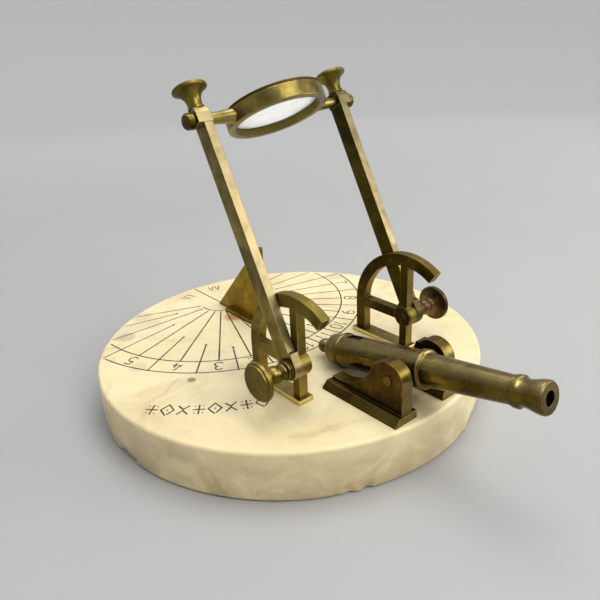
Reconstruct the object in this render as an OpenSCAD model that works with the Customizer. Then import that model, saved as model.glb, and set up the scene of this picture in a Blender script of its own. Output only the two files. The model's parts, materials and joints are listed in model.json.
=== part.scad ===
// Sundial with a noon cannon: a marble dial that carries a gnomon, a small cannon on two
// cheeks, and a burning lens held above the cannon's touch hole by two hinged arms.
// Millimetres. The origin is the middle of the marble's underside, +Z is up and +X runs
// along the noon line from the gnomon to the muzzle. "near" pieces are at -Y, "far" at +Y.

/* [Marble base] */
// Diameter of the marble disc
base_d = 240; // [230:1:300]
// Thickness of the marble disc
base_t = 29.5; // [26:0.5:45]
// Radius of the soft top edge
base_edge_r = 2; // [1:0.5:4]
// Chamfer of the bottom edge
base_chamfer = 1.5; // [0.5:0.5:3]

/* [Gnomon] */
// Latitude that the dial is cut for, which is the angle of the gnomon's style
latitude = 46.5; // [35:0.5:50]
// Distance of the gnomon's toe behind the middle of the disc
toe_back = 79.5; // [60:0.5:90]
// Length of the gnomon along the noon line
gnomon_l = 54.4; // [40:0.2:62]
// Thickness of the gnomon plate
gnomon_w = 3.8; // [3:0.1:6]
// Width of the flange under the gnomon
gnomon_foot_w = 12.6; // [10:0.2:20]
// Thickness of the flange under the gnomon
gnomon_foot_t = 2.5; // [2:0.1:4]

/* [Quadrant frames] */
// Distance of the arm pivot ahead of the middle of the disc
pivot_x = 62; // [50:1:70]
// Height of the arm pivot above the marble
pivot_h = 22; // [18:0.5:30]
// Outer radius of the quadrant arc
arc_ro = 39; // [34:0.5:48]
// Width of the quadrant arc and of the rear post
arc_w = 7; // [5:0.5:9]
// Angle above the level at which the arc ends in front
arc_end = 55.5; // [30:0.5:75]
// Width of the front post
post_w = 5.4; // [4:0.2:8]
// Height of the level bar
bar_h = 6; // [4:0.5:8]
// Radius of the boss round the pivot
boss_r = 6.5; // [5.5:0.1:8]
// Distance of the frame's inner face from the noon line
frame_y = 39.4; // [36:0.2:46]
// Thickness of the frame
frame_t = 5.4; // [4.6:0.2:8]
// Thickness of the plate under the frame
plate_t = 2.7; // [2:0.1:5]
// How far the plate stands out beside the frame, each side
plate_lip = 2.1; // [1:0.1:4]
// How far the plate stands out past the posts, each end
plate_end = 1.7; // [1:0.1:4]

/* [Arms] */
// Distance from the arm pivot to the lens axis, along the arm
arm_l = 135; // [110:0.5:160]
// Lean of the arms behind the upright
arm_lean = 27.6; // [0:0.2:45]
// Width of the arm, seen from the side
arm_w = 10; // [7:0.2:10.4]
// Thickness of the arm
arm_t = 5; // [4:0.2:7]
// Radius of the eye at the foot of the arm
eye_r = 6.7; // [6:0.1:8]
// Height of the straight part above the eye
eye_h = 7; // [5:0.5:10]
// Width of the head that holds the lens trunnion
head_w = 8.6; // [7:0.2:11]
// Depth of the head, seen from the side
head_d = 10.8; // [10.6:0.2:13]
// Height of the square part of the head
head_h = 5; // [4:0.2:7]
// Height of the sloping shoulders on the head
shoulder_h = 3.2; // [3:0.1:6]

/* [Lens] */
// Outer diameter of the lens ring
ring_d = 57.6; // [50:0.2:66]
// Height of the lens ring without its retainer
ring_h = 8.2; // [8:0.2:12]
// Wall of the lens ring round the glass
ring_wall = 3.3; // [2.6:0.1:5]
// How far the step under the glass reaches in
lip_in = 1; // [0.8:0.1:2]
// Height of the step under the glass
lip_t = 4.4; // [3:0.1:4.4]
// Thickness of the glass at its edge
glass_edge_t = 2; // [1.4:0.1:2.2]
// Bulge of each face of the glass
glass_bulge = 2.3; // [1:0.1:2.6]
// Thickness of the retainer's visible flange
retainer_t = 1.6; // [0.8:0.1:2.4]
// Radius of the lens trunnions
lens_pin_r = 2.2; // [2:0.1:2.6]
// Radius of the trunnion where it meets the ring
flare_r = 4.1; // [3.6:0.1:4.2]

/* [Thumb screws] */
// Radius of the disc of an arm clamp screw
clamp_disc_r = 10.6; // [8:0.1:13]
// Thickness of the disc of an arm clamp screw
clamp_disc_t = 4.2; // [3:0.1:5]
// Radius of the ball on an arm clamp screw
ball_r = 4.9; // [4.4:0.1:5.6]
// Radius of the disc of a lens clamp screw
lens_disc_r = 9.4; // [8:0.1:13]
// Thickness of the disc of a lens clamp screw
lens_disc_t = 2.7; // [2:0.1:4]
// Length of the trumpet under the disc of a lens clamp screw
trumpet_l = 8.5; // [6:0.1:12]
// Radius of the neck
neck_r = 3.9; // [3.4:0.1:4.6]
// Radius of the arm clamp screw's shank
clamp_r = 2.6; // [2:0.1:3]
// Radius of the lens clamp screw's shank
lens_screw_r = 1.9; // [1.5:0.1:2.2]

/* [Cannon] */
// Height of the cannon's trunnions above the marble
trunnion_h = 20.5; // [18:0.5:26]
// Distance of the cannon's trunnions ahead of the middle of the disc
trunnion_x = 103.8; // [98:0.2:106]
// Length from the trunnions back to the base ring
breech_l = 51; // [44:0.5:56]
// Length from the trunnions forward to the muzzle
muzzle_l = 74; // [66:0.5:90]
// Radius of the base ring
base_ring_r = 10.4; // [9:0.1:11.5]
// Radius of the muzzle swell
muzzle_r = 7.9; // [7:0.1:9]
// Radius of the bore
bore_r = 3.6; // [2:0.1:4]
// Radius of the cannon's trunnions
trunnion_r = 2.7; // [2:0.1:3.6]

/* [Carriage] */
// Gap between the two cheeks
cheek_gap = 26.2; // [24:0.2:32]
// Thickness of a cheek
cheek_t = 7.4; // [6:0.2:10]
// Radius of the rounded top of a cheek
cheek_r = 10; // [8:0.2:12]
// Radius of the hollow in the back of a cheek
hollow_r = 26; // [20:0.5:32]
// Thickness of the foot under a cheek
foot_t = 4.4; // [3.5:0.1:6]
// How far the foot reaches in past the cheek
foot_in = 2.5; // [0:0.1:3]
// How far the foot reaches out past the cheek
foot_out = 6; // [4:0.1:10]
// How far the foot reaches forward past the trunnions
foot_front = 11.2; // [10.4:0.1:14]
// How far the foot reaches back from the trunnions
foot_back = 41.9; // [36:0.1:48]

/* [Fixings] */
// Radius of the studs that hold the brass to the marble
stud_r = 1.5; // [1.2:0.1:1.8]
// Radius of the recess round each nut
recess_r = 7; // [6:0.5:9]
// Depth of the recess round each nut
recess_d = 12; // [9:0.5:14]

/* [Fits] */
// Radial clearance of a running fit
run_gap = 0.06; // [0.02:0.01:0.1]
// Gap between flat faces that slide past each other
face_gap = 0.2; // [0.1:0.05:0.4]

/* [Hidden] */

$fn = 96;
cut = 1;                                // how far a cutting solid runs past a face
arc_steps = 36;                         // points along a long arc
short_steps = 10;                       // points along a short arc
marble = [0.93, 0.89, 0.76];
brass = [0.60, 0.50, 0.24];
bright_brass = [0.80, 0.68, 0.36];
dark_brass = [0.42, 0.34, 0.16];
clear = [0.85, 0.92, 0.95, 0.5];

base_r = base_d / 2;
pivot_z = base_t + pivot_h;
arc_ri = arc_ro - arc_w;
plate_top = base_t + plate_t;
thread_r = clamp_r - 0.6;               // threaded end of an arm clamp screw

arm_y = frame_y + frame_t + face_gap;   // inner face of an arm
head_y = arm_y - 0.5;                   // inner face of an arm's head
head_mid = head_y + head_w / 2;
head_bottom = arm_l - head_h / 2 - 0.3;
head_top = head_bottom + head_h + shoulder_h;

ring_r = ring_d / 2;
seat_r = ring_r - ring_wall;
glass_r = seat_r - face_gap;
ring_bottom = -ring_h / 2 - 0.4;
ring_top = ring_bottom + ring_h;
lip_z = ring_bottom + lip_t;
seat_drop = 0.25;                       // glass edge above its seat, for its bulge
glass_z = lip_z + glass_bulge * (1 - pow((seat_r - lip_in) / glass_r, 2)) + seat_drop;
glass_top = glass_z + glass_edge_t;     // top of the glass at its edge
spigot_t = 2;                           // wall of the retainer's threaded spigot

washer_t = 1.2;
washer_y = arm_y + arm_t + 0.1;
clamp_head_y = washer_y + washer_t + 0.1;

trunnion_z = base_t + trunnion_h;
base_ring_w = 2;
breech_end = breech_l + base_ring_w / 2;
rest_gap = 0.3;                         // base ring to marble, at rest
breech_reach = norm([breech_end, base_ring_r]);
barrel_tilt = asin((trunnion_h - rest_gap) / breech_reach) - atan2(base_ring_r, breech_end);
cheek_in = cheek_gap / 2;
cheek_out = cheek_in + cheek_t;
foot_top = base_t + foot_t;

nut_t = 3;
washer_plate_t = 1;
stud_bottom = recess_d - washer_plate_t - nut_t - 1;
post_x = [pivot_x - arc_ro + arc_w / 2, pivot_x];
cheek_stud_x = [trunnion_x - 18, trunnion_x];
frame_mid = frame_y + frame_t / 2;
cheek_mid = cheek_in + cheek_t / 2;
frame_stud_top = plate_top + 6;
gnomon_stud_top = base_t + gnomon_foot_t + 3;
gnomon_stud_x = [-toe_back + gnomon_l / 3 + 4, -toe_back + gnomon_l - 12];
frame_stud_spots = [for (side = [-1, 1]) for (x = post_x) [x, side * frame_mid],
                    for (side = [-1, 1]) for (x = cheek_stud_x) [x, side * cheek_mid]];
gnomon_stud_spots = [for (x = gnomon_stud_x) [x, 0]];
all_stud_spots = concat(frame_stud_spots, gnomon_stud_spots);

// Points along an arc, from angle a0 to a1
function arc(c, r, a0, a1, steps) =
    [for (i = [0:steps]) let (a = a0 + (a1 - a0) * i / steps) c + r * [cos(a), sin(a)]];

// Stands an outline drawn in X and Z upright, between two distances from the noon line
module upright(y0, y1) {
    translate([0, y1, 0]) rotate([90, 0, 0]) linear_extrude(y1 - y0) children();
}

// A round bar along Y
module cross_bar(x, z, r, y0, y1) {
    translate([x, y0, z]) rotate([-90, 0, 0]) cylinder(r = r, h = y1 - y0);
}

module to_near() {
    mirror([0, 1, 0]) children();
}

// Puts a piece drawn with the pivot at the origin and the arm along +Z in its place
module on_arm() {
    translate([pivot_x, 0, pivot_z]) rotate([0, -arm_lean, 0]) children();
}

module at_spots(spots, z) {
    for (spot = spots) translate([spot[0], spot[1], z]) children();
}

// ---- marble and fixings ----

module base_disc() {
    edge = arc([base_r - base_edge_r, base_t - base_edge_r], base_edge_r, 0, 90, short_steps);
    color(marble) difference() {
        rotate_extrude($fn = 180) polygon(concat(
            [[0, 0], [base_r - base_chamfer, 0], [base_r, base_chamfer]], edge, [[0, base_t]]));
        at_spots(all_stud_spots, -cut) cylinder(r = recess_r, h = recess_d + cut);
        at_spots(all_stud_spots, 0) cylinder(r = stud_r + 0.4, h = base_t + cut);
    }
}

module frame_studs() {
    color(dark_brass) at_spots(frame_stud_spots, stud_bottom)
        cylinder(r = stud_r, h = frame_stud_top - stud_bottom);
}

module gnomon_studs() {
    color(dark_brass) at_spots(gnomon_stud_spots, stud_bottom)
        cylinder(r = stud_r, h = gnomon_stud_top - stud_bottom);
}

module stud_washers() {
    color(brass) at_spots(all_stud_spots, recess_d - washer_plate_t) difference() {
        cylinder(r = recess_r - 2, h = washer_plate_t);
        translate([0, 0, -cut]) cylinder(r = stud_r + 0.2, h = washer_plate_t + 2 * cut);
    }
}

module stud_nuts() {
    color(dark_brass) at_spots(all_stud_spots, recess_d - washer_plate_t - nut_t) difference() {
        cylinder(r = recess_r - 3, h = nut_t, $fn = 6);
        translate([0, 0, -cut]) cylinder(r = stud_r + run_gap, h = nut_t + 2 * cut);
    }
}

// ---- quadrant frames ----

module quadrant_outline() {
    c = [pivot_x, pivot_z];
    half = post_w / 2;
    side_a = acos(half / boss_r);
    bar_a = asin(bar_h / 2 / boss_r);
    top_a = acos(half / arc_ri);
    rear = pivot_x - arc_ri;
    polygon(concat(
        [[pivot_x - arc_ro, plate_top]],
        arc(c, arc_ro, 180, arc_end, arc_steps),
        arc(c, arc_ri, arc_end, top_a, short_steps),
        arc(c, boss_r, side_a, -side_a, short_steps),
        [[pivot_x + half, plate_top], [pivot_x - half, plate_top]],
        arc(c, boss_r, side_a - 180, bar_a - 180, short_steps),
        [[rear, pivot_z - bar_h / 2], [rear, plate_top]]));
}

module quadrant_window() {
    c = [pivot_x, pivot_z];
    half = post_w / 2;
    side_a = acos(half / boss_r);
    bar_a = asin(bar_h / 2 / boss_r);
    polygon(concat(
        arc(c, arc_ri, 180 - asin(bar_h / 2 / arc_ri), 180 - acos(half / arc_ri), arc_steps),
        arc(c, boss_r, 180 - side_a, 180 - bar_a, short_steps)));
}

module quadrant() {
    color(brass) difference() {
        union() {
            upright(frame_y, frame_y + frame_t) difference() {
                quadrant_outline();
                quadrant_window();
            }
            cross_bar(pivot_x, pivot_z, boss_r - 0.4, frame_y - 0.8, frame_y + cut);
        }
        cross_bar(pivot_x, pivot_z, thread_r + run_gap, frame_y - 2, frame_y + frame_t + cut);
        at_spots([for (x = post_x) [x, frame_mid]], plate_top - cut)
            cylinder(r = stud_r + run_gap, h = frame_stud_top - plate_top + cut + 0.5);
    }
}

module quadrant_plate() {
    x0 = pivot_x - arc_ro - plate_end;
    x1 = pivot_x + post_w / 2 + plate_end;
    color(bright_brass) difference() {
        translate([x0, frame_y - plate_lip, base_t])
            cube([x1 - x0, frame_t + 2 * plate_lip, plate_t]);
        at_spots([for (x = post_x) [x, frame_mid]], base_t - cut)
            cylinder(r = stud_r + run_gap, h = plate_t + 2 * cut);
    }
}

module far_quadrant() quadrant();
module near_quadrant() to_near() quadrant();
module far_quadrant_plate() quadrant_plate();
module near_quadrant_plate() to_near() quadrant_plate();

// ---- gnomon ----

module gnomon() {
    toe = -toe_back;
    tip_w = 2;
    rise = (gnomon_l - tip_w) * tan(latitude);
    foot_x = toe + gnomon_l * 0.28;
    color(brass) difference() {
        union() {
            upright(-gnomon_w / 2, gnomon_w / 2) polygon([
                [toe, base_t], [toe + gnomon_l - tip_w, base_t + rise],
                [toe + gnomon_l, base_t + rise], [toe + gnomon_l, base_t]]);
            translate([foot_x, -gnomon_foot_w / 2, base_t])
                cube([toe + gnomon_l - foot_x, gnomon_foot_w, gnomon_foot_t]);
        }
        at_spots(gnomon_stud_spots, base_t - cut)
            cylinder(r = stud_r + run_gap, h = gnomon_stud_top - base_t + cut + 0.5);
    }
}

// ---- carriage ----

module cheek_outline() {
    c = [trunnion_x, trunnion_z];
    rear_x = trunnion_x - foot_back + 2;
    hollow_x = trunnion_x - cheek_r - hollow_r;
    rear_h = 2;
    hollow_c = [hollow_x + 0.4, foot_top + rear_h + hollow_r];
    start_a = asin(max(-1, (rear_x - hollow_c[0]) / hollow_r)) - 90;
    end_a = asin((trunnion_z + 0.6 * cheek_r - hollow_c[1]) / hollow_r);
    polygon(concat(
        [[rear_x, foot_top]],
        arc(hollow_c, hollow_r, start_a, end_a, arc_steps),
        arc(c, cheek_r, 140, 0, arc_steps),
        [[trunnion_x + cheek_r, foot_top]]));
}

module cheek_foot() {
    x0 = trunnion_x - foot_back;
    y0 = cheek_in - foot_in;
    y1 = cheek_out + foot_out;
    bevel = 3.4;
    edge = 1;
    translate([x0, 0, 0]) rotate([90, 0, 90]) linear_extrude(foot_back + foot_front) polygon([
        [y0, base_t], [y1, base_t], [y1, base_t + edge], [y1 - bevel, foot_top], [y0, foot_top]]);
}

module cheek() {
    color(brass) difference() {
        union() {
            upright(cheek_in, cheek_out) cheek_outline();
            cheek_foot();
        }
        cross_bar(trunnion_x, trunnion_z, trunnion_r + run_gap, cheek_in - cut, cheek_out + cut);
        at_spots([for (x = cheek_stud_x) [x, cheek_mid]], base_t - cut)
            cylinder(r = stud_r + run_gap, h = frame_stud_top - base_t + cut + 0.5);
    }
}

module far_cheek() cheek();
module near_cheek() to_near() cheek();

// ---- arms ----

// The head: a square block under sloping shoulders
module arm_head() {
    top_w = 2 * neck_r;
    h1 = head_bottom + head_h;
    intersection() {
        upright(head_y, head_y + head_w) polygon([
            [-head_d / 2, head_bottom], [head_d / 2, head_bottom], [head_d / 2, h1],
            [top_w / 2, head_top], [-top_w / 2, head_top], [-head_d / 2, h1]]);
        translate([-head_d, head_mid, 0]) rotate([90, 0, 90]) linear_extrude(2 * head_d) polygon([
            [-head_w / 2, head_bottom], [head_w / 2, head_bottom], [head_w / 2, h1],
            [top_w / 2, head_top], [-top_w / 2, head_top], [-head_w / 2, h1]]);
    }
}

// The bar, with a wider straight part above the eye
module arm_outline() {
    half = arm_w / 2;
    foot = eye_r - 0.12;
    top = head_bottom + 0.5;
    polygon([[-foot, 0], [foot, 0], [foot, eye_h], [half, eye_h + 1], [half, top],
             [-half, top], [-half, eye_h + 1], [-foot, eye_h]]);
}

module arm() {
    color(brass) on_arm() difference() {
        union() {
            upright(arm_y, arm_y + arm_t) arm_outline();
            cross_bar(0, 0, eye_r, arm_y, arm_y + arm_t);
            arm_head();
        }
        cross_bar(0, 0, clamp_r + run_gap, arm_y - cut, arm_y + arm_t + cut);
        cross_bar(0, arm_l, lens_pin_r + run_gap, head_y - cut, head_y + head_w + cut);
        translate([0, head_mid, arm_l]) cylinder(r = lens_screw_r + run_gap, h = head_top);
    }
}

module far_arm() arm();
module near_arm() to_near() arm();

module clamp_washers() {
    color(dark_brass) on_arm() for (side = [0, 1]) mirror([0, side, 0]) difference() {
        cross_bar(0, 0, eye_r - 0.9, washer_y, washer_y + washer_t);
        cross_bar(0, 0, clamp_r + run_gap, washer_y - cut, washer_y + washer_t + cut);
    }
}

// ---- thumb screws, drawn along +Z with the seat of the head at 0 ----

// The disc of a thumb screw, with a step in its rim
module thumb_disc(z, r, thick, step) {
    low = thick * 0.6;
    rotate_extrude() translate([0, z]) polygon([
        [0, 0], [r - 1.4, 0], [r - 0.4, 0.3], [r, 0.8], [r, low], [r - 0.4, low + 0.3],
        [r - step, low + 0.3], [r - step, thick - 0.4], [r - step - 0.6, thick], [0, thick + 0.15]]);
}

module clamp_screw() {
    tail_y = frame_y - 0.2;
    reach = clamp_head_y - tail_y;
    shank = clamp_head_y - (frame_y + frame_t);
    waist_r = neck_r - 0.4;
    collar_r = neck_r + 1.4;
    collar_t = 1.1;
    bead_c = collar_t + 1.6;
    ball_c = bead_c + ball_r;
    half_ball = acos(waist_r / ball_r);
    ball_end = ball_c + ball_r * sin(half_ball);
    flare_l = 4.2;
    top = ball_end + flare_l;
    flare = [for (i = [0:short_steps]) let (t = i / short_steps)
             [waist_r + (clamp_disc_r - 1.6 - waist_r) * pow(t, 2.4), ball_end + flare_l * t]];
    color(brass) translate([pivot_x, clamp_head_y, pivot_z]) rotate([-90, 0, 0]) {
        rotate_extrude() polygon(concat(
            [[0, 0], [collar_r, 0], [collar_r, collar_t]],
            arc([waist_r, bead_c], 1.1, -70, 60, short_steps),
            arc([0, ball_c], ball_r, -half_ball, half_ball, arc_steps),
            flare, [[0, top]]));
        thumb_disc(top, clamp_disc_r, clamp_disc_t, 1);
        translate([0, 0, -reach]) cylinder(r = thread_r, h = reach + 0.5);
        translate([0, 0, -shank + 0.1]) cylinder(r = clamp_r, h = shank + 0.4);
    }
}

module lens_screw() {
    collar_t = 1.3;
    tip = arm_l + lens_pin_r + 0.15;
    seat = head_top + 0.1;
    flare = [for (i = [0:short_steps]) let (t = i / short_steps)
             [neck_r + (lens_disc_r - 1.4 - neck_r) * pow(t, 3), seat + collar_t + trumpet_l * t]];
    top = seat + collar_t + trumpet_l;
    color(brass) on_arm() translate([0, head_mid, 0]) {
        translate([0, 0, tip]) cylinder(r = lens_screw_r, h = seat - tip + 0.5);
        rotate_extrude() polygon(concat(
            [[0, seat], [neck_r + 0.5, seat], [neck_r + 0.5, seat + collar_t]], flare, [[0, top]]));
        thumb_disc(top, lens_disc_r, lens_disc_t, 0.5);
    }
}

module far_clamp_screw() clamp_screw();
module near_clamp_screw() to_near() clamp_screw();
module far_lens_screw() lens_screw();
module near_lens_screw() to_near() lens_screw();

// ---- lens ----

module on_lens() {
    on_arm() translate([0, 0, arm_l]) children();
}

module lens_ring() {
    round = 0.5;
    color(brass) on_lens() difference() {
        rotate_extrude() polygon([
            [seat_r - lip_in, ring_bottom + round], [seat_r - lip_in + round, ring_bottom],
            [ring_r - round, ring_bottom], [ring_r, ring_bottom + round], [ring_r, ring_top],
            [seat_r, ring_top], [seat_r, lip_z], [seat_r - lip_in, lip_z]]);
        for (side = [0, 1]) mirror([0, side, 0])
            cross_bar(0, 0, lens_pin_r - 0.5 + run_gap, seat_r + 0.5, ring_r + cut);
    }
}

module lens_glass() {
    face_r = (pow(glass_r, 2) + pow(glass_bulge, 2)) / (2 * glass_bulge);
    half_a = asin(glass_r / face_r);
    top_c = glass_top + glass_bulge - face_r;
    bottom_c = glass_z - glass_bulge + face_r;
    color(clear) on_lens() rotate_extrude() polygon(concat(
        arc([0, bottom_c], face_r, -90, half_a - 90, short_steps),
        arc([0, top_c], face_r, 90 - half_a, 90, short_steps)));
}

module lens_retainer() {
    spigot_r = seat_r - run_gap;
    inner_r = spigot_r - spigot_t;
    spigot_bottom = glass_top + glass_bulge * (1 - pow(inner_r / glass_r, 2)) + seat_drop;
    flange = ring_top + 0.25;
    color(dark_brass) on_lens() rotate_extrude() polygon([
        [inner_r, spigot_bottom], [spigot_r, spigot_bottom], [spigot_r, flange],
        [ring_r - 0.2, flange], [ring_r - 0.2, flange + retainer_t - 0.4],
        [ring_r - 0.8, flange + retainer_t], [inner_r, flange + retainer_t]]);
}

module lens_trunnion() {
    root = 0.8;
    waist_r = lens_pin_r + 0.7;
    stop = head_y - face_gap;
    outer = head_y + head_w + face_gap;
    flare = [for (i = [0:short_steps]) let (t = i / short_steps)
             [waist_r + (flare_r - waist_r) * pow(1 - t, 1.4),
              ring_r - root + (stop - ring_r + root) * t]];
    color(bright_brass) on_lens() {
        difference() {
            rotate([-90, 0, 0]) rotate_extrude() polygon(concat(
                [[0, ring_r - root]], flare, [[0, stop]]));
            translate([0, 0, -ring_r]) cylinder(r = ring_r + 0.03, h = 2 * ring_r);
        }
        cross_bar(0, 0, lens_pin_r - 0.5, seat_r + 0.7, ring_r + 0.5);
        cross_bar(0, 0, lens_pin_r, stop - 0.5, outer);
        cross_bar(0, 0, lens_pin_r - 0.6, outer - 0.5, outer + 3);
    }
}

module far_trunnion() lens_trunnion();
module near_trunnion() to_near() lens_trunnion();

module trunnion_caps() {
    cap_r = 4.3;
    cap_l = 4.7;
    fillet = 1.9;
    cap_y = head_y + head_w + 2 * face_gap;
    color(dark_brass) on_lens() for (side = [0, 1]) mirror([0, side, 0]) difference() {
        translate([0, cap_y, 0]) rotate([-90, 0, 0]) rotate_extrude() polygon(concat(
            [[0, 0], [cap_r - 0.4, 0], [cap_r, 0.4], [cap_r, cap_l - fillet]],
            arc([cap_r - fillet, cap_l - fillet], fillet, 0, 90, short_steps), [[0, cap_l + 0.2]]));
        cross_bar(0, 0, lens_pin_r - 0.6 + run_gap, cap_y - cut, cap_y + 3);
    }
}

// ---- cannon ----

// Puts a piece drawn along +Z, with the trunnions at the origin, in its place
module on_barrel() {
    translate([trunnion_x, 0, trunnion_z]) rotate([0, 90 - barrel_tilt, 0]) children();
}

module barrel() {
    breech = -breech_end;
    ring_s = 7.5;
    neck_s = muzzle_l - 10.5;
    bead_s = muzzle_l - 14;
    bore_l = muzzle_l + breech_l - 11;
    swell = [for (i = [0:short_steps]) let (t = i / short_steps)
             [muzzle_r - 1.4 + 1.4 * (1 - cos(180 * t)) / 2, neck_s + (muzzle_l - 2 - neck_s) * t]];
    pan_s = -breech_l + 8;
    color(brass) on_barrel() difference() {
        union() {
            rotate_extrude() polygon(concat(
                [[0, breech], [base_ring_r - 0.6, breech], [base_ring_r, breech + 0.6],
                 [base_ring_r, breech + base_ring_w - 0.5], [base_ring_r - 0.6, breech + base_ring_w],
                 [base_ring_r - 1, ring_s - 2.4], [base_ring_r - 0.5, ring_s - 2],
                 [base_ring_r, ring_s - 1.4], [base_ring_r, ring_s + 1.2],
                 [base_ring_r - 0.5, ring_s + 1.8], [base_ring_r - 1.6, ring_s + 2.2],
                 [muzzle_r - 1.05, bead_s - 2.5], [muzzle_r - 0.6, bead_s - 2.2],
                 [muzzle_r - 0.6, bead_s - 1.6], [muzzle_r - 0.9, bead_s - 1.3],
                 [muzzle_r - 0.2, bead_s - 0.9], [muzzle_r - 0.2, bead_s + 1.2],
                 [muzzle_r - 0.8, bead_s + 1.7], [muzzle_r - 1.4, bead_s + 2.4]],
                swell,
                [[muzzle_r, muzzle_l - 0.9], [muzzle_r - 0.6, muzzle_l], [0, muzzle_l]]));
            cross_bar(0, 0, trunnion_r, -cheek_out - 0.5, cheek_out + 0.5);
            cross_bar(0, 0, trunnion_r + 1.3, -cheek_in + 1, cheek_in - 1);
        }
        translate([0, 0, muzzle_l - bore_l]) cylinder(r = bore_r, h = bore_l + cut);
        translate([-base_ring_r - cut, 0, pan_s + 3]) rotate([0, 90, 0])
            cylinder(r = 0.8, h = base_ring_r + cut);
        translate([-base_ring_r - cut, -2.5, pan_s - 4]) cube([cut + 2.2, 5, 11]);
        translate([0, 0, breech - cut]) cylinder(r = 4 + run_gap, h = cut + 5);
    }
}

module breech_plug() {
    seat = -breech_end - 0.3;
    shoulder = seat - 5.8;
    shoulder_r = 5;
    crown_r = base_ring_r - 1.35;
    knob_r = 4.2;
    knob_s = seat - 17.5;
    stem_r = 3.1;
    stem_a = acos(stem_r / knob_r);
    color(brass) on_barrel() union() {
        rotate_extrude() polygon(concat(
            [[0, seat], [crown_r + 0.1, seat], [crown_r + 0.5, seat - 0.5]],
            arc([crown_r - shoulder_r, shoulder], shoulder_r, 0, -82, short_steps),
            [[stem_r + 0.5, shoulder - shoulder_r - 0.2], [stem_r, shoulder - shoulder_r - 0.8]],
            arc([0, knob_s], knob_r, stem_a, -90, arc_steps)));
        translate([0, 0, seat - 0.5]) cylinder(r = 4, h = 5);
    }
}

base_disc();
frame_studs();
gnomon_studs();
stud_washers();
stud_nuts();
near_quadrant();
far_quadrant();
near_quadrant_plate();
far_quadrant_plate();
gnomon();
near_cheek();
far_cheek();
near_arm();
far_arm();
clamp_washers();
lens_ring();
lens_glass();
lens_retainer();
near_trunnion();
far_trunnion();
trunnion_caps();
near_clamp_screw();
far_clamp_screw();
near_lens_screw();
far_lens_screw();
barrel();
breech_plug();
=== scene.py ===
import json
import math
import bmesh
import bpy
from mathutils import Matrix, Vector, noise


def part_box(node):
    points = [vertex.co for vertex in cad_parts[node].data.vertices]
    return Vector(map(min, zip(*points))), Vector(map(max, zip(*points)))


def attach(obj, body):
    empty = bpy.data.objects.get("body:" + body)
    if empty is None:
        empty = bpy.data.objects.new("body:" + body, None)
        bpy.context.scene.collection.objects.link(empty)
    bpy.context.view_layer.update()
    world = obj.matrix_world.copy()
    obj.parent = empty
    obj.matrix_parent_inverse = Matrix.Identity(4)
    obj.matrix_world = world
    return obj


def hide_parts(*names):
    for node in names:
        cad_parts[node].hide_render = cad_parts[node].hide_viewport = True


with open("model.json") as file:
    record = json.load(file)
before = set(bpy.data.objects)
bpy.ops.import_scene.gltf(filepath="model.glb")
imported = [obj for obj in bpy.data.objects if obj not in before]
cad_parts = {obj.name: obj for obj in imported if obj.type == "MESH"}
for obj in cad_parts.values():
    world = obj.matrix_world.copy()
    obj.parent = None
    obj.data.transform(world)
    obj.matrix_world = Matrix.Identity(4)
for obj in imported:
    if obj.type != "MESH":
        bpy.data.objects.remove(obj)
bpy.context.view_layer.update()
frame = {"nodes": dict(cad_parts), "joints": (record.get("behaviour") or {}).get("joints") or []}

NODES = frame["nodes"]

# ---------------------------------------------------------------- sizes that come from the frame
base_lo, base_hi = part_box("base_disc")
BASE_R = (base_hi[0] - base_lo[0]) / 2
TOP_Z = base_hi[2]
# The hour lines start at the gnomon's toe
TOE_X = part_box("gnomon")[0][0]
joint = {j["name"]: j for j in frame["joints"]}
PIVOT = Vector(joint["arm_swing"]["pos_m"])
LENS_C = Vector(joint["lens_tilt"]["pos_m"])
LENS_AXIS = (LENS_C - PIVOT).normalized()


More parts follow.
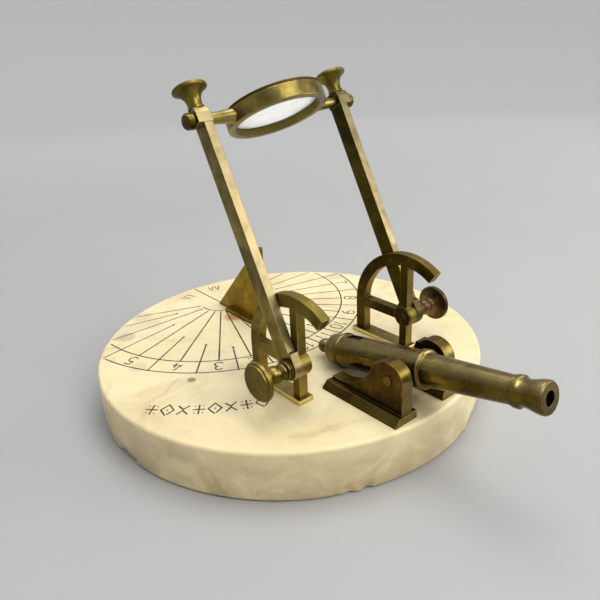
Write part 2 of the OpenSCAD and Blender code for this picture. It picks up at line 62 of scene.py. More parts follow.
# ---------------------------------------------------------------- node material helpers
class Nodes:
    """A small helper that builds a node tree line by line."""

    def __init__(self, name):
        self.mat = bpy.data.materials.new(name)
        self.mat.use_nodes = True
        self.tree = self.mat.node_tree
        self.tree.nodes.clear()
        self.out = self.add("ShaderNodeOutputMaterial")
        self.bsdf = self.add("ShaderNodeBsdfPrincipled")
        self.link(self.bsdf.outputs[0], self.out.inputs["Surface"])
        self.coord = self.add("ShaderNodeTexCoord").outputs["Object"]

    def add(self, kind, **props):
        node = self.tree.nodes.new(kind)
        for key, value in props.items():
            setattr(node, key, value)
        return node

    def link(self, a, b):
        self.tree.links.new(a, b)

    def feed(self, socket, value):
        if hasattr(value, "is_output") or isinstance(value, bpy.types.NodeSocket):
            self.link(value, socket)
        else:
            socket.default_value = value

    def noise(self, scale, detail=3.0, rough=0.55, distort=0.0, coord=None):
        n = self.add("ShaderNodeTexNoise")
        self.link(coord or self.coord, n.inputs["Vector"])
        n.inputs["Scale"].default_value = scale
        n.inputs["Detail"].default_value = detail
        n.inputs["Roughness"].default_value = rough
        n.inputs["Distortion"].default_value = distort
        return n.outputs["Fac"]

    def ramp(self, value, stops, ease="EASE"):
        n = self.add("ShaderNodeValToRGB")
        self.link(value, n.inputs[0])
        n.color_ramp.interpolation = ease
        while len(n.color_ramp.elements) < len(stops):
            n.color_ramp.elements.new(0.5)
        for e, (pos, c) in zip(n.color_ramp.elements, stops):
            e.position = pos
            e.color = (c, c, c, 1) if isinstance(c, (int, float)) else (*c, 1)
        return n.outputs["Color"]

    def math(self, op, a, b=0.0, clamp=False):
        n = self.add("ShaderNodeMath", operation=op, use_clamp=clamp)
        self.feed(n.inputs[0], a)
        self.feed(n.inputs[1], b)
        return n.outputs[0]

    def mix(self, fac, a, b, blend="MIX"):
        n = self.add("ShaderNodeMix", data_type="RGBA", blend_type=blend)
        self.feed(n.inputs["Factor"], fac)
        self.feed(n.inputs[6], (*a, 1) if isinstance(a, tuple) else a)
        self.feed(n.inputs[7], (*b, 1) if isinstance(b, tuple) else b)
        return n.outputs[2]

    def mapping(self, scale, rotation=(0, 0, 0)):
        n = self.add("ShaderNodeMapping")
        self.link(self.coord, n.inputs["Vector"])
        n.inputs["Scale"].default_value = scale
        n.inputs["Rotation"].default_value = rotation
        return n.outputs[0]

    def edge(self, radius, samples=6):
        """1 on worn convex edges, 0 elsewhere."""
        bevel = self.add("ShaderNodeBevel", samples=samples)
        bevel.inputs["Radius"].default_value = radius
        geo = self.add("ShaderNodeNewGeometry")
        dot = self.add("ShaderNodeVectorMath", operation="DOT_PRODUCT")
        self.link(bevel.outputs[0], dot.inputs[0])
        self.link(geo.outputs["Normal"], dot.inputs[1])
        return self.ramp(dot.outputs["Value"], [(0.80, 1.0), (0.985, 0.0)], "LINEAR"), bevel.outputs[0]

    def cavity(self, distance):
        ao = self.add("ShaderNodeAmbientOcclusion", samples=4)
        ao.inputs["Distance"].default_value = distance
        return ao.outputs["AO"]

    def bump(self, height, strength, distance, normal=None):
        n = self.add("ShaderNodeBump")
        n.inputs["Strength"].default_value = strength
        n.inputs["Distance"].default_value = distance
        self.link(height, n.inputs["Height"])
        if normal is not None:
            self.link(normal, n.inputs["Normal"])
        return n.outputs[0]


def brass(name, dark, mid, light, wear=0.8, rough=(0.28, 0.5), brushed=None, grime_and_shade=0.8,
          edge_r=0.0006, front=0.0, top=0.0, rim=0.0, foot=None, reach=0.004,
          bore=None):
    """Aged brass: tarnish in clouds, golden where it is rubbed, dirt and painted shade in its corners.

    front and top paint a lighter sheen standing in for light on the faces that look along the piece's own
    +X and +Z, rim on those that look sideways; foot fades that painted sheen near the marble; reach is how
    far the dirt and painted shade spread from a corner; bore is (centre, axis, radius) of a round hole
    whose wall is painted dark as shade."""
    m = Nodes(name)
    cloud = m.noise(38, 5, 0.58, 0.4)
    spots = m.noise(420, 4, 0.65)
    fine = m.noise(2400, 3, 0.6)
    base = m.mix(m.ramp(cloud, [(0.34, 0.0), (0.66, 1.0)]), dark, mid)
    base = m.mix(m.ramp(spots, [(0.54, 0.0), (0.80, 0.20)]), base, light)
    base = m.mix(m.ramp(spots, [(0.22, 0.35), (0.42, 0.0)]), base, tuple(0.5 * c for c in dark))
    # Painted sheen: the colour is lightened on faces by the way they look, standing in for light falling on
    # them
    painted_sheen = None
    if front or top or rim:
        split = m.add("ShaderNodeSeparateXYZ")
        m.link(m.add("ShaderNodeTexCoord").outputs["Normal"], split.inputs[0])
        fx = m.ramp(split.outputs[0], [(0.25, 0.0), (0.80, front)])
        fz = m.ramp(split.outputs[2], [(0.25, 0.0), (0.80, top)])
        upright = m.ramp(m.math("ABSOLUTE", split.outputs[2]), [(0.25, rim), (0.70, 0.0)])
        painted_sheen = m.math("MAXIMUM", m.math("MAXIMUM", fx, fz), upright)
        if foot is not None:
            point = m.add("ShaderNodeSeparateXYZ")
            m.link(m.coord, point.inputs[0])
            height = m.math("DIVIDE", point.outputs[2], 0.2)
            fading = m.ramp(height, [(0.28, foot), (0.46, 1.0), (0.82, 1.0), (0.90, 0.75)])
            painted_sheen = m.math("MULTIPLY", painted_sheen, fading)
        painted_sheen = m.math("MULTIPLY", painted_sheen, m.ramp(m.noise(120, 4, 0.6), [(0.25, 0.55), (0.6, 1.0)]))
        base = m.mix(painted_sheen, base, light)
    edge, bevel_normal = m.edge(edge_r)
    worn = m.math("MULTIPLY", edge, m.ramp(m.noise(260, 4, 0.6), [(0.30, 0.25), (0.62, 1.0)]))
    worn = m.math("MULTIPLY", worn, wear, True)
    base = m.mix(worn, base, tuple(min(1.0, 1.28 * c) for c in light))
    # Dirt and painted shade: the colour darkens where ambient occlusion finds nearby surfaces, in corners
    # and against the marble
    ao = m.cavity(reach)
    dirt_and_shade = m.ramp(ao, [(0.25, grime_and_shade), (0.78, 0.0)])
    base = m.mix(dirt_and_shade, base, tuple(0.22 * c for c in dark))
    # Painted shade: the wall of the bore is darkened as if in shadow
    if bore is not None:
        centre, axis, radius = bore
        away = m.add("ShaderNodeVectorMath", operation="SUBTRACT")
        m.link(m.coord, away.inputs[0])
        away.inputs[1].default_value = centre
        across = m.add("ShaderNodeVectorMath", operation="CROSS_PRODUCT")
        m.link(away.outputs[0], across.inputs[0])
        across.inputs[1].default_value = axis
        length = m.add("ShaderNodeVectorMath", operation="LENGTH")
        m.link(across.outputs[0], length.inputs[0])
        inside = m.ramp(m.math("DIVIDE", length.outputs["Value"], radius), [(0.925, 0.85), (0.985, 0.0)])
        base = m.mix(inside, base, tuple(1.1 * c for c in dark))
    m.link(base, m.bsdf.inputs["Base Color"])
    m.bsdf.inputs["Metallic"].default_value = 1.0
    rough_mix = m.ramp(m.noise(140, 4, 0.6), [(0.3, rough[0]), (0.7, rough[1])])
    rough_mix = m.mix(worn, rough_mix, (rough[0] * 0.85,) * 3)
    rough_mix = m.mix(dirt_and_shade, rough_mix, (0.75, 0.75, 0.75))
    m.link(rough_mix, m.bsdf.inputs["Roughness"])
    normal = m.bump(cloud, 0.08, 0.0012, bevel_normal)
    normal = m.bump(spots, 0.14, 0.0003, normal)
    normal = m.bump(fine, 0.12, 0.00008, normal)
    if brushed is not None:
        strokes = m.noise(900, 2, 0.5, coord=m.mapping(brushed))
        normal = m.bump(strokes, 0.14, 0.0002, normal)
    m.link(normal, m.bsdf.inputs["Normal"])
    return m.mat


TAN = (0.300, 0.220, 0.060)
GOLD = (0.620, 0.470, 0.130)
PALE_GOLD = (0.950, 0.750, 0.320)
# Brush strokes drawn out along the piece's Z
ALONG_ARM = (1, 1, 0.06)
# Just inside the outside of the lens ring
LENS_RING_R = 0.0284

# Each brass: dark, middle and light colour, wear of the edges, least and most roughness

# The front, top and rim amounts paint a sheen of light on faces by the way they look; the corner amounts
# paint shade along with dirt
MATS = {
    "arm": brass("aged_brass_arm", (0.115, 0.083, 0.018), (0.300, 0.225, 0.066), (0.64, 0.52, 0.29),
                 0.9, (0.34, 0.50), ALONG_ARM, front=0.68, foot=0.45),
    # Darker copy of the arm brass: painted shade on the far arm
    "far_arm": brass("aged_brass_shaded_arm", (0.032, 0.023, 0.002), (0.090, 0.066, 0.006),
                     (0.44, 0.36, 0.19), 0.6, (0.36, 0.52), ALONG_ARM, front=0.66, foot=0.15),
    "frame": brass("aged_brass_frame", (0.076, 0.056, 0.007), (0.195, 0.144, 0.021), GOLD,
                   0.5, (0.36, 0.54), front=0.42, top=0.22, reach=0.008),
    # Darker copy of the frame brass: painted shade on the far quadrant
    "shaded_frame": brass("aged_brass_shaded_frame", (0.026, 0.016, 0.001), (0.085, 0.054, 0.003), GOLD,
                       0.35, (0.38, 0.56), front=0.35, top=0.25, reach=0.008),
    # The cheeks' corner darkening reaches far: painted contact shade near the marble, along with dirt
    "cheek": brass("aged_brass_cheek", (0.030, 0.015, 0.0015), (0.100, 0.060, 0.0055), GOLD,
                   0.5, (0.30, 0.48), front=0.30, top=0.15, reach=0.012, grime_and_shade=0.95),
    # Painted highlight along the top of the barrel, and painted shade with the dirt beneath it
    "cannon": brass("aged_brass_cannon", (0.076, 0.047, 0.006), (0.205, 0.142, 0.024),
                    (0.42, 0.335, 0.15), 0.22, (0.20, 0.34), top=0.55, reach=0.006, grime_and_shade=1.0),
    "gnomon": brass("aged_brass_gnomon", (0.120, 0.078, 0.004), (0.350, 0.230, 0.014), GOLD,
                    0.6, (0.36, 0.52), reach=0.008),
    # The long corner reach and the bore paint shade on the inside wall of the lens ring
    "lens": brass("aged_brass_lens", (0.15, 0.115, 0.030), (0.38, 0.30, 0.10), GOLD,
                  0.8, (0.26, 0.44), reach=0.03, bore=(LENS_C, LENS_AXIS, LENS_RING_R)),
    "pin": brass("aged_brass_pin", (0.16, 0.12, 0.030), (0.40, 0.31, 0.11), GOLD, 0.8, (0.26, 0.44)),
    "screw": brass("aged_brass_screw", (0.052, 0.040, 0.004), (0.130, 0.100, 0.011), GOLD,
                   0.5, (0.32, 0.48), top=0.5),
    "knob": brass("aged_brass_knob", (0.080, 0.061, 0.009), (0.240, 0.182, 0.032), GOLD, 0.6, (0.30, 0.46)),
    "red": brass("aged_brass_red", (0.060, 0.027, 0.018), (0.185, 0.115, 0.050), GOLD, 0.5, (0.32, 0.48)),
    # rim paints a sheen of light on the side faces of the plates
    "bright": brass("bright_brass", (0.22, 0.155, 0.040), (0.42, 0.31, 0.090), PALE_GOLD, 0.9, (0.24, 0.38),
                    rim=0.85),
    "dark": brass("dark_brass", (0.05, 0.035, 0.006), (0.12, 0.088, 0.020), TAN, 0.6, (0.38, 0.58)),
}

LOOKS = {
    # The far arm and the far quadrant take the darker copies, painted shade
    "near_arm": "arm", "far_arm": "far_arm",
    "near_quadrant": "frame", "far_quadrant": "shaded_frame",
    "near_quadrant_plate": "bright", "far_quadrant_plate": "bright",
    "near_cheek": "cheek", "far_cheek": "cheek",
    "barrel": "cannon", "breech_plug": "cannon",
    "gnomon": "gnomon",
    "lens_ring": "lens", "lens_retainer": "dark",
    "near_trunnion": "pin", "far_trunnion": "pin", "trunnion_caps": "screw",
    "near_clamp_screw": "screw", "far_clamp_screw": "red",
    "near_lens_screw": "knob", "far_lens_screw": "knob",
    "clamp_washers": "dark", "frame_studs": "dark", "gnomon_studs": "dark",
    "stud_washers": "frame", "stud_nuts": "dark",
}


def glass():
    """Clear glass mixed with a white translucent layer: painted light standing in for the bright backdrop
    seen through it.
    """
    m = Nodes("lens_glass")
    b = m.bsdf
    b.inputs["Base Color"].default_value = (0.97, 0.985, 0.98, 1)
    b.inputs["Transmission Weight"].default_value = 1.0
    b.inputs["IOR"].default_value = 1.5
    smear = m.ramp(m.noise(90, 4, 0.6, 0.8), [(0.45, 0.015), (0.75, 0.06)])
    m.link(smear, b.inputs["Roughness"])
    m.link(m.bump(m.noise(900, 3), 0.02, 0.00005), b.inputs["Normal"])
    # Painted light: a mostly white translucent layer stands in for the bright backdrop seen through the
    # lens
    painted_backdrop = m.add("ShaderNodeBsdfTranslucent")
    m.link(m.ramp(m.noise(60, 4, 0.6, 1.5), [(0.35, (0.90, 0.90, 0.86)), (0.7, (1.0, 1.0, 0.99))]),
           painted_backdrop.inputs["Color"])
    both = m.add("ShaderNodeMixShader")
    m.link(m.ramp(m.noise(34, 3, 0.5, 2.0), [(0.30, 0.60), (0.50, 0.94)]), both.inputs[0])
    m.link(b.outputs[0], both.inputs[1])
    m.link(painted_backdrop.outputs[0], both.inputs[2])
    m.link(both.outputs[0], m.out.inputs["Surface"])
    return m.mat


def set_material(obj, mat):
    obj.data.materials.clear()
    obj.data.materials.append(mat)
    for p in obj.data.polygons:
        p.material_index = 0


for node, look in LOOKS.items():
    set_material(NODES[node], MATS[look])
set_material(NODES["lens_glass"], glass())


# ---------------------------------------------------------------- the marble
# Each stain: where it is, how wide, its colour and how strong
STAINS = [
    (0.0023, -0.0745, 0.0034, (0.30, 0.21, 0.10), 0.95),
    (-0.0520, -0.0070, 0.0090, (0.50, 0.22, 0.10), 0.9),
    (-0.0770, -0.0774, 0.0080, (0.55, 0.36, 0.26), 0.6),
    (-0.0992, -0.0547, 0.0080, (0.60, 0.40, 0.28), 0.4),
    (-0.0330, -0.0900, 0.0060, (0.60, 0.50, 0.34), 0.5),
    (0.0560, 0.0700, 0.0160, (0.66, 0.56, 0.38), 0.4),
    (-0.0580, 0.0960, 0.0090, (0.55, 0.48, 0.34), 0.5),
]


def marble():
    """Cream marble: clouds, veins and specks, darker towards its foot, and the stains."""
    m = Nodes("cream_marble")
    big = m.noise(9, 5, 0.6, 0.8)
    mid = m.noise(34, 6, 0.62, 0.6)
    fine = m.noise(700, 4, 0.7)
    col = m.mix(m.ramp(big, [(0.36, 0.0), (0.66, 1.0)]), (0.92, 0.80, 0.50), (0.86, 0.71, 0.40))
    col = m.mix(m.ramp(mid, [(0.50, 0.0), (0.74, 0.62)]), col, (0.72, 0.55, 0.28))
    col = m.mix(m.ramp(m.noise(20, 5, 0.6, 1.4), [(0.52, 0.0), (0.74, 0.5)]), col, (0.64, 0.54, 0.34))
    wave = m.add("ShaderNodeTexWave", wave_type="BANDS", bands_direction="DIAGONAL")
    m.link(m.coord, wave.inputs["Vector"])
    wave.inputs["Scale"].default_value = 4.5
    wave.inputs["Distortion"].default_value = 14
    wave.inputs["Detail"].default_value = 5
    wave.inputs["Detail Scale"].default_value = 1.6
    vein = m.ramp(wave.outputs["Fac"], [(0.0, 0.28), (0.05, 0.0)])
    col = m.mix(m.math("MULTIPLY", vein, m.ramp(mid, [(0.4, 0.0), (0.6, 1.0)])), col, (0.50, 0.38, 0.22))
    specks = m.ramp(m.noise(330, 3, 0.6), [(0.66, 0.0), (0.76, 0.6)])
    col = m.mix(specks, col, (0.42, 0.31, 0.18))
    split = m.add("ShaderNodeSeparateXYZ")
    m.link(m.coord, split.inputs[0])
    height = m.math("DIVIDE", split.outputs[2], TOP_Z)
    low = m.ramp(height, [(0.0, 0.95), (0.55, 0.60), (0.90, 0.25), (0.985, 0.0)])
    darker_low = m.math("MULTIPLY", low, m.ramp(m.noise(26, 5, 0.62, 0.9), [(0.34, 0.12), (0.68, 1.0)]))
    col = m.mix(darker_low, col, (0.47, 0.36, 0.19))
    for (x, y, r, c, amount) in STAINS:
        away = m.add("ShaderNodeVectorMath", operation="DISTANCE")
        m.link(m.coord, away.inputs[0])
        away.inputs[1].default_value = (x, y, TOP_Z)
        ragged = m.math("ADD", away.outputs["Value"], m.math("MULTIPLY", mid, 0.9 * r))
        blot = m.ramp(m.math("DIVIDE", ragged, 2.0 * r), [(0.45, amount), (0.78, 0.0)])
        col = m.mix(blot, col, c)
    m.link(col, m.bsdf.inputs["Base Color"])
    m.link(m.ramp(m.noise(60, 4), [(0.3, 0.34), (0.7, 0.52)]), m.bsdf.inputs["Roughness"])
    m.bsdf.inputs["Subsurface Weight"].default_value = 0.12
    m.bsdf.inputs["Subsurface Radius"].default_value = (0.006, 0.004, 0.0025)
    m.bsdf.inputs["Subsurface Scale"].default_value = 1.0
    n = m.bump(fine, 0.10, 0.0002)
    n = m.bump(mid, 0.12, 0.0012, n)
    m.link(n, m.bsdf.inputs["Normal"])
    return m.mat


def engraving():
    """The dark fill of the grooves, worn pale in places."""
    m = Nodes("engraving_fill")
    worn = m.ramp(m.noise(160, 4, 0.7), [(0.35, 0.0), (0.7, 1.0)])
    col = m.mix(worn, (0.050, 0.037, 0.018), (0.22, 0.165, 0.085))
    m.link(col, m.bsdf.inputs["Base Color"])
    m.bsdf.inputs["Roughness"].default_value = 0.85
    m.link(m.bump(m.noise(1500, 3), 0.4, 0.0002), m.bsdf.inputs["Normal"])
    return m.mat


# ---------------------------------------------------------------- mesh helpers
def polar(r, a):
    return r * math.cos(a), r * math.sin(a)


def circle(bm, x, y, z, r, segments):
    """A ring of vertices round (x, y) at the height z."""
    turns = [2 * math.pi * k / segments for k in range(segments)]
    return [bm.verts.new((x + r * math.cos(a), y + r * math.sin(a), z)) for a in turns]


def skin(bm, rings, bottom=True, top=True):
    """Faces between neighbouring rings, with a cap at either end."""
    for lower, upper in zip(rings, rings[1:]):
        for k in range(len(lower)):
            n = (k + 1) % len(lower)
            bm.faces.new((lower[k], lower[n], upper[n], upper[k]))
    if bottom:
        bm.faces.new(rings[0][::-1])
    if top:
        bm.faces.new(rings[-1])


def make_object(name, bm):
    mesh = bpy.data.meshes.new(name)
    bm.to_mesh(mesh)
    bm.free()
    obj = bpy.data.objects.new(name, mesh)
    bpy.context.scene.collection.objects.link(obj)
    return obj


def turned(name, profile, segments, shift):
    """A solid of revolution; shift(angle, r, z) says how far in the surface stands there."""
    bm = bmesh.new()
    rings = []
    for r, z in profile:
        turns = [2 * math.pi * k / segments for k in range(segments)]
        rings.append([bm.verts.new((*polar(r - shift(a, r, z), a), z)) for a in turns])
    skin(bm, rings)
    return make_object(name, bm)


# ---------------------------------------------------------------- the slab and what is cut into it
def chip(a, r, z):
    """Chips round the lower edge, deepest near the front, and a hand-worked wall."""
    p = Vector((*polar(r, a), z))
    worked = 0.00012 * (1 + noise.noise(p * 160))
    low = max(0.0, 1 - z / 0.0075)
    facing = 0.45 + 0.55 * max(0.0, math.cos(a + math.radians(55)))
    broken = max(0.0, noise.noise(p * 38 + Vector((2, 5, 0))) + 0.36 * noise.noise(p * 150) - 0.02)
    upper = max(0.0, 1 - (TOP_Z - z) / 0.003)
    nick = max(0.0, noise.noise(p * 130 + Vector((7, 3, 1))) - 0.42)
    return worked + low * (0.0085 * facing * broken + 0.0003) + 0.0022 * upper * nick


# The grooves' width and depth
GROOVE_W = 0.00098
GROOVE_D = 0.0006
# Lines and signs end this far inside the slab's edge
MARGIN = 0.0026
# The two arcs round the toe that hold the hour numbers, and the small ring where the hour lines begin
INNER_R = 0.0891
OUTER_R = 0.1027
NUMBER_R = (INNER_R + OUTER_R) / 2
NUMBER_H = 0.0088
TOE_RING_R = 0.0140
# The half-hour lines begin on a circle of this radius, this far in front of the toe
HALF_R = 0.0495
HALF_OFF = 0.0295
# How the hour lines fan out: the sine of the latitude, 43 degrees, in the dial's rule
SLANT = 0.682
# The band of ornament near the slab's edge: its radius round the toe, the signs' height and spacing
BAND_R = 0.1413
BAND_H = 0.0100
BAND_FIRST = -24.4
BAND_STEP = -3.44
# How far apart the letters of one sign stand, in heights
LETTER_STEP = 0.62


def about_toe(r, a):
    x, y = polar(r, a)
    return TOE_X + x, y


def on_disc(points, limit):
    """Those of the points that are nearer the slab's middle than the limit."""
    return [p for p in points if math.hypot(*p) < limit]


def sweep_angles(a0, a1, steps):
    return [math.radians(a0 + (a1 - a0) * k / steps) for k in range(steps + 1)]


def circle_about_toe(r, a0, a1, steps):
    return [about_toe(r, a) for a in sweep_angles(a0, a1, steps)]


def line_from_toe(a, r0, r1, steps=24):
    """A line away from the toe, in short steps so that it can stop at the slab's edge."""
    (x0, y0), (x1, y1) = about_toe(r0, a), about_toe(r1, a)
    return [(x0 + (x1 - x0) * t / steps, y0 + (y1 - y0) * t / steps) for t in range(steps + 1)]


def bow(cx, cy, rx, ry, a0, a1, steps=10):
    """A stretch of an ellipse, from the angle a0 to a1 in degrees."""
    return [(cx + rx * math.cos(a), cy + ry * math.sin(a)) for a in sweep_angles(a0, a1, steps)]


# Digits as strokes in a box one unit high, drawn round x = 0
DIGITS = {
    "0": [bow(0, 0.5, 0.27, 0.5, 90, 438, 20)],
    "1": [[(-0.16, 0.84), (0.02, 1.0), (0.02, 0.0)]],
    "2": [bow(0, 0.72, 0.27, 0.28, 165, -35, 10) + [(-0.28, 0.0)], [(-0.34, 0.0), (0.32, 0.0)]],
    "3": [bow(-0.02, 0.75, 0.25, 0.25, 160, -75, 10), bow(-0.02, 0.27, 0.30, 0.27, 80, -155, 12)],
    "4": [[(0.06, 1.0), (-0.32, 0.30), (0.34, 0.30)], [(0.12, 0.62), (0.12, 0.0)]],
    "5": [[(0.28, 1.0), (-0.20, 1.0), (-0.24, 0.55)], bow(-0.02, 0.32, 0.29, 0.31, 130, -145, 12)],
    "6": [bow(0, 0.28, 0.27, 0.28, 0, 348, 16), bow(0.20, 0.36, 0.46, 0.62, 100, 170, 8)],
    "7": [[(-0.28, 1.0), (0.28, 1.0), (-0.06, 0.0)]],
    "8": [bow(0, 0.75, 0.22, 0.25, -80, 260, 16), bow(0, 0.26, 0.28, 0.26, 100, 440, 16)],
    "9": [bow(0, 0.72, 0.27, 0.28, 180, 528, 16), bow(-0.20, 0.64, 0.46, 0.62, -80, -10, 8)],
}


def place(points, angle, r_mid, height, along=0.0):
    """Puts a sign drawn upright at an angle round the toe, its top away from the toe."""
    up = polar(1.0, angle)
    out = []
    for x, y in points:
        r = r_mid + (y - 0.5) * height
        t = (x + along) * height
        out.append((TOE_X + up[0] * r + up[1] * t, up[1] * r - up[0] * t))
    return out


def sign(layers, text, angle, r_mid, height):
    """A number; strokes of one digit that cross go to different layers."""
    for n, letter in enumerate(text):
        along = (n - (len(text) - 1) / 2) * LETTER_STEP
        for k, stroke in enumerate(DIGITS[letter]):
            layers["sign%d" % k].append(place(stroke, angle, r_mid, height, along))


def hour_angle(hours):
    """The angle on a level dial of the shadow that many hours from noon."""
    turn = math.radians(15 * hours)
    return math.atan2(SLANT * math.sin(turn), math.cos(turn))


def dot(layers, point, r):
    layers["dots"].append(("dot", point, r))


def hour_lines(layers, rim):
    """Hour lines with their numbers, and half-hour lines with a dot at either end."""
    for side in (-1, 1):
        for h in range(1, 8):
            a = hour_angle(h)
            hour = line_from_toe(side * a, TOE_RING_R + 0.0018, INNER_R - 0.0001)
            layers["hours"].append(on_disc(hour, rim))
            if math.hypot(*about_toe(NUMBER_R, a)) < rim - 0.005:
                sign(layers, str(h) if side < 0 else str(12 - h), side * a, NUMBER_R, NUMBER_H)
            b = hour_angle(h - 0.5)
            start = HALF_OFF * math.cos(b) + math.sqrt(HALF_R ** 2 - (HALF_OFF * math.sin(b)) ** 2)
            half = line_from_toe(side * b, start, OUTER_R)
            layers["halves"].append(on_disc(half, rim))
            dot(layers, half[0], 0.0012)
            if math.hypot(*half[-1]) < rim - 0.002:
                dot(layers, half[-1], 0.0010)


def rear_marks(layers):
    """The two pairs of strokes behind the gnomon."""
    shapes = {"V": [(-0.22, 1.0), (0.0, 0.0), (0.22, 1.0)], "I": [(0, 1.0), (0, 0.0)]}
    for side, marks in ((-1, "VI"), (1, "VV")):
        for n, mark in enumerate(marks):
            along = LETTER_STEP * (n - 0.5)
            layers["sign0"].append(place(shapes[mark], side * math.radians(157), 0.0300, 0.0080, along))


def ornament(layers):
    """Lozenges, dotted crosses and saltires in turn, in a band near the slab's edge."""
    for n in range(8):
        a = math.radians(BAND_FIRST + BAND_STEP * n)

        def put(points):
            return place(points, a, BAND_R, BAND_H)

        if n % 3 == 0:
            layers["orna0"].append(put([(0.0, 1.0), (0.36, 0.5), (0.0, 0.0), (-0.36, 0.5), (-0.06, 0.92)]))
            dot(layers, put([(0, 0.5)])[0], 0.0007)
        elif n % 3 == 1:
            layers["orna0"].append(put([(0.0, 0.95), (0.0, 0.05)]))
            layers["orna1"].append(put([(-0.34, 0.5), (0.34, 0.5)]))
            for y in (0.18, 0.82):
                for x in (0.22, -0.22):
                    dot(layers, put([(x, y)])[0], 0.0006)
        else:
            layers["orna0"].append(put([(-0.30, 0.9), (0.0, 0.55), (0.30, 0.9)]))
            layers["orna1"].append(put([(-0.30, 0.1), (0.0, 0.45), (0.30, 0.1)]))


def engraved_lines():
    """Every groove, in layers so that grooves of one layer don't cross each other."""
    layers = {k: [] for k in ("arcs", "hours", "halves", "dots", "sign0", "sign1", "orna0", "orna1")}
    rim = BASE_R - MARGIN
    for r in (INNER_R, OUTER_R):
        layers["arcs"].append(on_disc(circle_about_toe(r, -120, 120, 160), rim))
    layers["hours"].append(circle_about_toe(TOE_RING_R, -100, 100, 28))
    layers["arcs"].append([(TOE_X - 0.0012, 0), (-rim, 0)])
    hour_lines(layers, rim)
    sign(layers, "12", 0.0, NUMBER_R, NUMBER_H)
    rear_marks(layers)
    ornament(layers)
    return layers


def cutter(name, strokes):
    """One closed prism along each stroke, narrower at its bottom."""
    bm = bmesh.new()
    top, bottom = TOP_Z + 0.0005, TOP_Z - GROOVE_D
    for stroke in strokes:
        if stroke and stroke[0] == "dot":
            _, (x, y), r = stroke
            skin(bm, [circle(bm, x, y, bottom, 0.6 * r, 12), circle(bm, x, y, top, r, 12)])
            continue
        if len(stroke) < 2:
            continue
        quads = []
        for k, (x, y) in enumerate(stroke):
            before = stroke[max(0, k - 1)]
            after = stroke[min(len(stroke) - 1, k + 1)]
            d0 = Vector((x - before[0], y - before[1]))
            d1 = Vector((after[0] - x, after[1] - y))
            d0 = d0.normalized() if d0.length > 1e-9 else d1.normalized()
            d1 = d1.normalized() if d1.length > 1e-9 else d0
            t = (d0 + d1).normalized() if (d0 + d1).length > 1e-6 else d0
            stretch = min(1.6, 1 / max(0.4, t.dot(d1)))
            nx, ny = -t.y * stretch, t.x * stretch
            jitter = 1 + 0.16 * noise.noise(Vector((x * 700, y * 700, 0)))
            w_top, w_low = 0.5 * GROOVE_W * jitter * 1.3, 0.5 * GROOVE_W * jitter * 0.55
            quads.append([bm.verts.new((x + nx * s, y + ny * s, z))
                          for s, z in ((-w_low, bottom), (w_low, bottom), (w_top, top), (-w_top, top))])
        skin(bm, quads)
    bmesh.ops.recalc_face_normals(bm, faces=bm.faces)
    return make_object(name, bm)


def stud_places():
    """The middles of the studs, from the washers under the marble."""
    washers = NODES["stud_washers"]
    # Points nearer than this to a washer's first point are on the same washer
    same_washer = 0.011
    found = []
    for v in washers.data.vertices:
        p = washers.matrix_world @ v.co
        for c in found:
            if math.hypot(p.x - c[0][0], p.y - c[0][1]) < same_washer:
                c.append((p.x, p.y))
                break
        else:
            found.append([(p.x, p.y)])
    return [((min(x for x, _ in c) + max(x for x, _ in c)) / 2,
             (min(y for _, y in c) + max(y for _, y in c)) / 2) for c in found]


def drilling(name, r, z0, z1):
    """A round hole of radius r from z0 to z1 at every stud."""
    bm = bmesh.new()
    for x, y in stud_places():
        skin(bm, [circle(bm, x, y, z0, r, 48), circle(bm, x, y, z1, r, 48)])
    return make_object(name, bm)


def carve(obj, tools):
    """Cuts every tool out of obj and takes the tools away."""
    for tool in tools:
        mod = obj.modifiers.new(tool.name, "BOOLEAN")
        mod.operation = "DIFFERENCE"
        mod.solver = "MANIFOLD"
        mod.object = tool
    mesh = bpy.data.meshes.new_from_object(obj.evaluated_get(bpy.context.evaluated_depsgraph_get()))
    obj.modifiers.clear()
    obj.data = mesh
    for tool in tools:
        bpy.data.objects.remove(tool)


# The slab's outline: an eased lower edge, a wall in steps close enough to carry chips, a rounded top edge
FOOT_R = 0.0015
EDGE_R = 0.002
foot_edge = [(0.0, 0.0), (0.0007, 0.0004), (0.0012, 0.0009)]
wall_z = (0.0015, 0.0022, 0.003, 0.004, 0.005, 0.0065, 0.009, 0.012, 0.015, 0.018, 0.021, 0.0235, 0.0255,
          0.0270)
profile = [(BASE_R - FOOT_R + dr, z) for dr, z in foot_edge]
profile += [(BASE_R, z) for z in wall_z]
profile += [(BASE_R - EDGE_R + EDGE_R * math.cos(a), TOP_Z - EDGE_R + EDGE_R * math.sin(a))
            for a in sweep_angles(10, 90, 8)]
slab = turned("marble_slab", profile, 720, chip)
groove_tools = [cutter("cut_" + name, strokes) for name, strokes in engraved_lines().items() if strokes]
# The recesses for washers and nuts, then the holes for the studs, as the solid slab has them
RECESS_R = 0.0070
RECESS_TOP = 0.0120
STUD_HOLE_R = 0.0019
carve(slab, groove_tools + [drilling("cut_recess", RECESS_R, -0.001, RECESS_TOP),
                            drilling("cut_stud", STUD_HOLE_R, RECESS_TOP - 0.001, TOP_Z + 0.001)])
slab.data.materials.clear()
slab.data.materials.append(marble())
slab.data.materials.append(engraving())
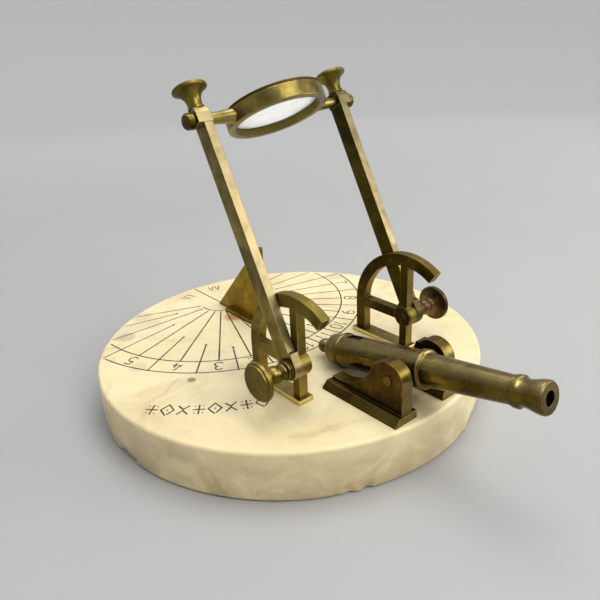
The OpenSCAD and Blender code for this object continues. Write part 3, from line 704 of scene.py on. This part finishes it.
# Grooves lie inside the first of these radii, and only the wall outside the second is shaded smooth
GROOVED_R = BASE_R - 0.0024
WALL_R = BASE_R - 0.0075
HAIR = 0.00001
for face in slab.data.polygons:
    c = face.center
    flat_r = math.hypot(c.x, c.y)
    in_groove = TOP_Z - GROOVE_D - 2 * HAIR < c.z < TOP_Z - HAIR and flat_r < GROOVED_R
    face.material_index = 1 if in_groove else 0
    face.use_smooth = flat_r > WALL_R and abs(face.normal.z) < 0.9999
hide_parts("base_disc")
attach(slab, "dial")


# ---------------------------------------------------------------- floor, light and camera
def stage_material():
    """An even grey that grows paler far out."""
    m = Nodes("pale_floor")
    col = m.mix(m.ramp(m.noise(6, 3), [(0.3, 0.0), (0.7, 1.0)]), (0.42, 0.42, 0.42), (0.43, 0.43, 0.43))
    length = m.add("ShaderNodeVectorMath", operation="LENGTH")
    m.link(m.coord, length.inputs[0])
    far = m.ramp(m.math("DIVIDE", length.outputs["Value"], 2.4), [(0.14, 0.0), (0.62, 1.0)])
    col = m.mix(far, col, (0.62, 0.62, 0.62))
    m.link(col, m.bsdf.inputs["Base Color"])
    m.bsdf.inputs["Roughness"].default_value = 0.9
    return m.mat


def bowl(name, profile, segments):
    """A floor closed in the middle that curves up into a wall."""
    bm = bmesh.new()
    skin(bm, [circle(bm, 0, 0, z, r, segments) for r, z in profile], top=False)
    obj = make_object(name, bm)
    obj.data.polygons.foreach_set("use_smooth", [True] * len(obj.data.polygons))
    return obj


# The floor is level out to FLAT_R and then turns up with the radius TURN_R; it lies a hair low
FLAT_R = 1.5
TURN_R = 0.7
FLOOR_Z = -0.0002
sweep = [(0.02, 0.0), (0.9, 0.0), (FLAT_R, 0.0)]
sweep += [(FLAT_R + TURN_R * math.sin(a), TURN_R - TURN_R * math.cos(a)) for a in sweep_angles(7.5, 90, 11)]
sweep += [(FLAT_R + TURN_R, 2.2)]
floor = bowl("studio_floor", [(r, z + FLOOR_Z) for r, z in sweep], 96)
floor.data.materials.append(stage_material())

scene = bpy.context.scene
scene.view_settings.view_transform = "Standard"
world = bpy.data.worlds.new("studio")
world.use_nodes = True
world.node_tree.nodes["Background"].inputs["Color"].default_value = (1, 1, 1, 1)
world.node_tree.nodes["Background"].inputs["Strength"].default_value = 0.80
scene.world = world


def area_light(name, spot, target, size, power, color):
    """A soft light at a spot, turned to a target."""
    data = bpy.data.lights.new(name, "AREA")
    data.shape = "RECTANGLE"
    data.size, data.size_y = size
    data.energy = power
    data.color = color
    obj = bpy.data.objects.new(name, data)
    obj.location = spot
    obj.rotation_mode = "QUATERNION"
    obj.rotation_quaternion = (Vector(target) - Vector(spot)).to_track_quat("-Z", "Y")
    scene.collection.objects.link(obj)


area_light("key", (1.0, 0.10, 0.95), (0, 0, 0.05), (0.6, 0.6), 7, (1.0, 0.98, 0.93))
area_light("top", (-0.25, 0.35, 1.6), (0, 0, 0.0), (1.0, 1.0), 12, (0.98, 0.99, 1.0))
area_light("side", (0.75, 0.85, 0.45), (0, 0, 0.08), (0.5, 0.5), 4, (1.0, 0.98, 0.95))

camera_data = bpy.data.cameras.new("camera")
camera_data.sensor_width = 36.0
camera_data.lens = 36.2
camera = bpy.data.objects.new("camera", camera_data)
azimuth, elevation, roll = math.radians(50.84), math.radians(23.44), math.radians(-2.68)
level = math.cos(elevation)
back = Vector((math.sin(azimuth) * level, -math.cos(azimuth) * level, math.sin(elevation)))
side = Vector((0, 0, 1)).cross(back).normalized()
over = back.cross(side)
right = math.cos(roll) * side + math.sin(roll) * over
up = math.cos(roll) * over - math.sin(roll) * side
aim = Vector((-0.0400, 0.0434, 0.0300))
eye = aim + 0.4459 * back
camera.matrix_world = Matrix(((right.x, up.x, back.x, eye.x), (right.y, up.y, back.y, eye.y),
                              (right.z, up.z, back.z, eye.z), (0, 0, 0, 1)))
scene.collection.objects.link(camera)
scene.camera = camera
